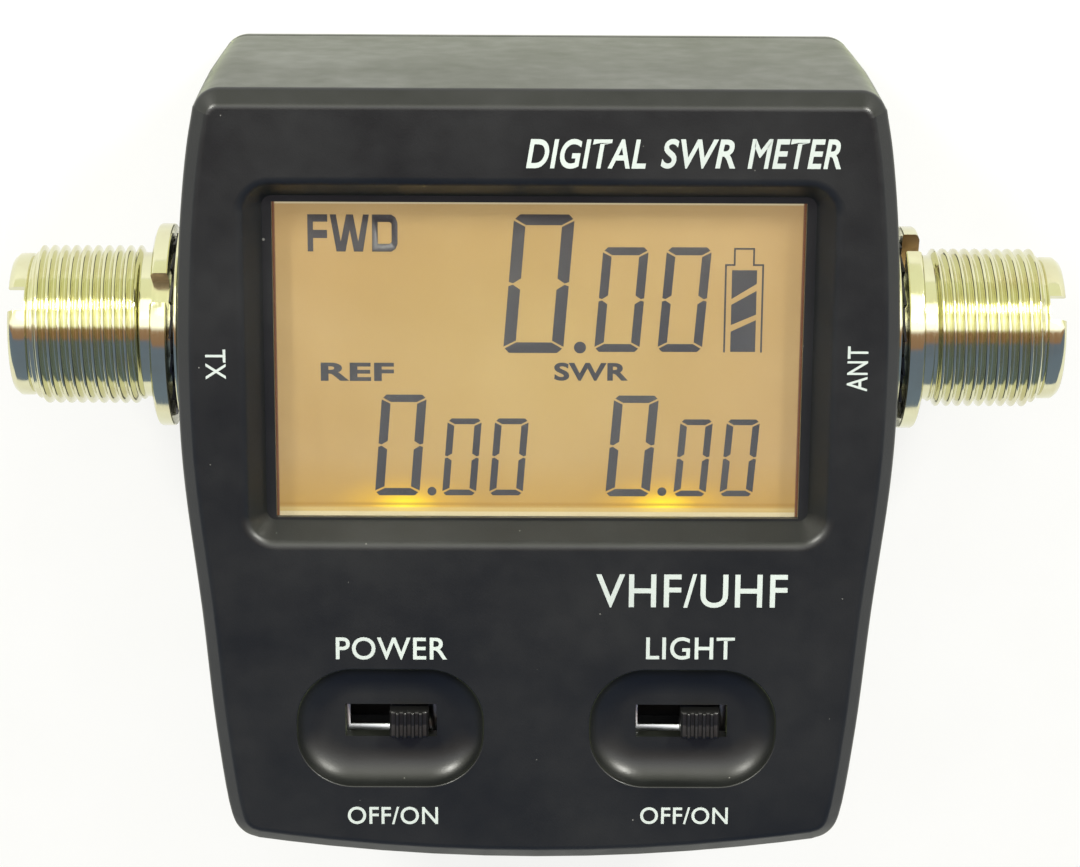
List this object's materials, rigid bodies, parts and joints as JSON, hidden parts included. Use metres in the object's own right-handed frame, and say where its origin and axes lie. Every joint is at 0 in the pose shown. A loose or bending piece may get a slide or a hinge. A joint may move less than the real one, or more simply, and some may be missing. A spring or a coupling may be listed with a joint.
{
  "type": "swr meter",
  "caption": "Pocket SWR and power meter: tapered plastic case, amber backlit display, two slide switches in dished recesses and a threaded UHF coaxial socket on each side.",
  "frame": {"origin": "middle of the bounding box at the surface under the rubber feet, with the meter lying on its back", "axes": "+X towards the antenna socket, +Y towards the top edge of the display, +Z out of the front face"},
  "size_m": [0.1018, 0.076, 0.0358],
  "materials": {
    "case_plastic": "finely textured charcoal moulding",
    "rubber": "matt black rubber",
    "steel": "zinc plated steel",
    "clear_plastic": "clear polished sheet",
    "lcd_glass": "amber backlit display glass with a matt polariser",
    "white_plastic": "white moulding",
    "light_guide": "frosted amber light guide",
    "amber_lamp": "amber lamp",
    "silicone": "striped conductive silicone",
    "green_board": "green solder mask over glass epoxy",
    "black_plastic": "satin black moulding",
    "capacitor_can": "drawn aluminium can",
    "nickel_plate": "turned brass, bright nickel plate",
    "toothed_steel": "dark toothed spring steel",
    "insulator": "white insulator",
    "gold_plate": "gold plated contact",
    "tin_plate": "tinned sheet",
    "copper": "copper rod",
    "ferrite": "dark ferrite",
    "white_lead": "white insulated lead",
    "cell_jacket": "printed metal jacket",
    "contact_nickel": "nickel plated spring sheet",
    "red_lead": "red insulated lead",
    "black_lead": "black insulated lead"
  },
  "bodies": {
    "case": {"front_shell": "case_plastic", "rear_shell": "case_plastic", "rubber_foot_1": "rubber", "rubber_foot_2": "rubber", "rubber_foot_3": "rubber", "rubber_foot_4": "rubber", "case_screw_1": "steel", "case_screw_2": "steel", "case_screw_3": "steel", "case_screw_4": "steel", "board_screw_1": "steel", "board_screw_2": "steel", "board_screw_3": "steel", "board_screw_4": "steel", "power_switch_can": "steel", "light_switch_can": "steel", "display_window": "clear_plastic", "lcd_glass": "lcd_glass", "lcd_holder": "white_plastic", "light_guide": "light_guide", "backlight_lamp_left": "amber_lamp", "backlight_lamp_right": "amber_lamp", "contact_strip": "silicone", "main_board": "green_board", "coupler_board": "green_board", "processor_chip": "black_plastic", "power_chip": "black_plastic", "capacitor_left": "capacitor_can", "capacitor_right": "capacitor_can", "tx_socket_body": "nickel_plate", "tx_flat_washer": "nickel_plate", "tx_ring_nut": "nickel_plate", "tx_inner_nut": "nickel_plate", "tx_toothed_washer": "toothed_steel", "tx_insulator": "insulator", "tx_centre_contact": "gold_plate", "ant_socket_body": "nickel_plate", "ant_flat_washer": "nickel_plate", "ant_ring_nut": "nickel_plate", "ant_inner_nut": "nickel_plate", "ant_toothed_washer": "toothed_steel", "ant_insulator": "insulator", "ant_centre_contact": "gold_plate", "coupler_trough": "tin_plate", "through_line": "copper", "core_forward": "ferrite", "core_reflected": "ferrite", "sensor_lead": "white_lead", "cell_1": "cell_jacket", "cell_2": "cell_jacket", "cell_3": "cell_jacket", "contact_positive": "contact_nickel", "contact_bridge_right": "contact_nickel", "contact_bridge_left": "contact_nickel", "contact_negative": "contact_nickel", "battery_lead_red": "red_lead", "battery_lead_black": "black_lead"},
    "power_knob": {"power_switch_knob": "black_plastic"},
    "light_knob": {"light_switch_knob": "black_plastic"},
    "door": {"battery_door": "case_plastic"}
  },
  "joints": [
    {"name": "power_switch_slide", "type": "slide", "parent": "case", "child": "power_knob", "axis": [1, 0, 0], "range_m": [-0.0035, 0]},
    {"name": "light_switch_slide", "type": "slide", "parent": "case", "child": "light_knob", "axis": [1, 0, 0], "range_m": [-0.0035, 0]},
    {"name": "battery_door_slide", "type": "slide", "parent": "case", "child": "door", "axis": [0, -1, 0], "range_m": [0, 0.036]}
  ]
}
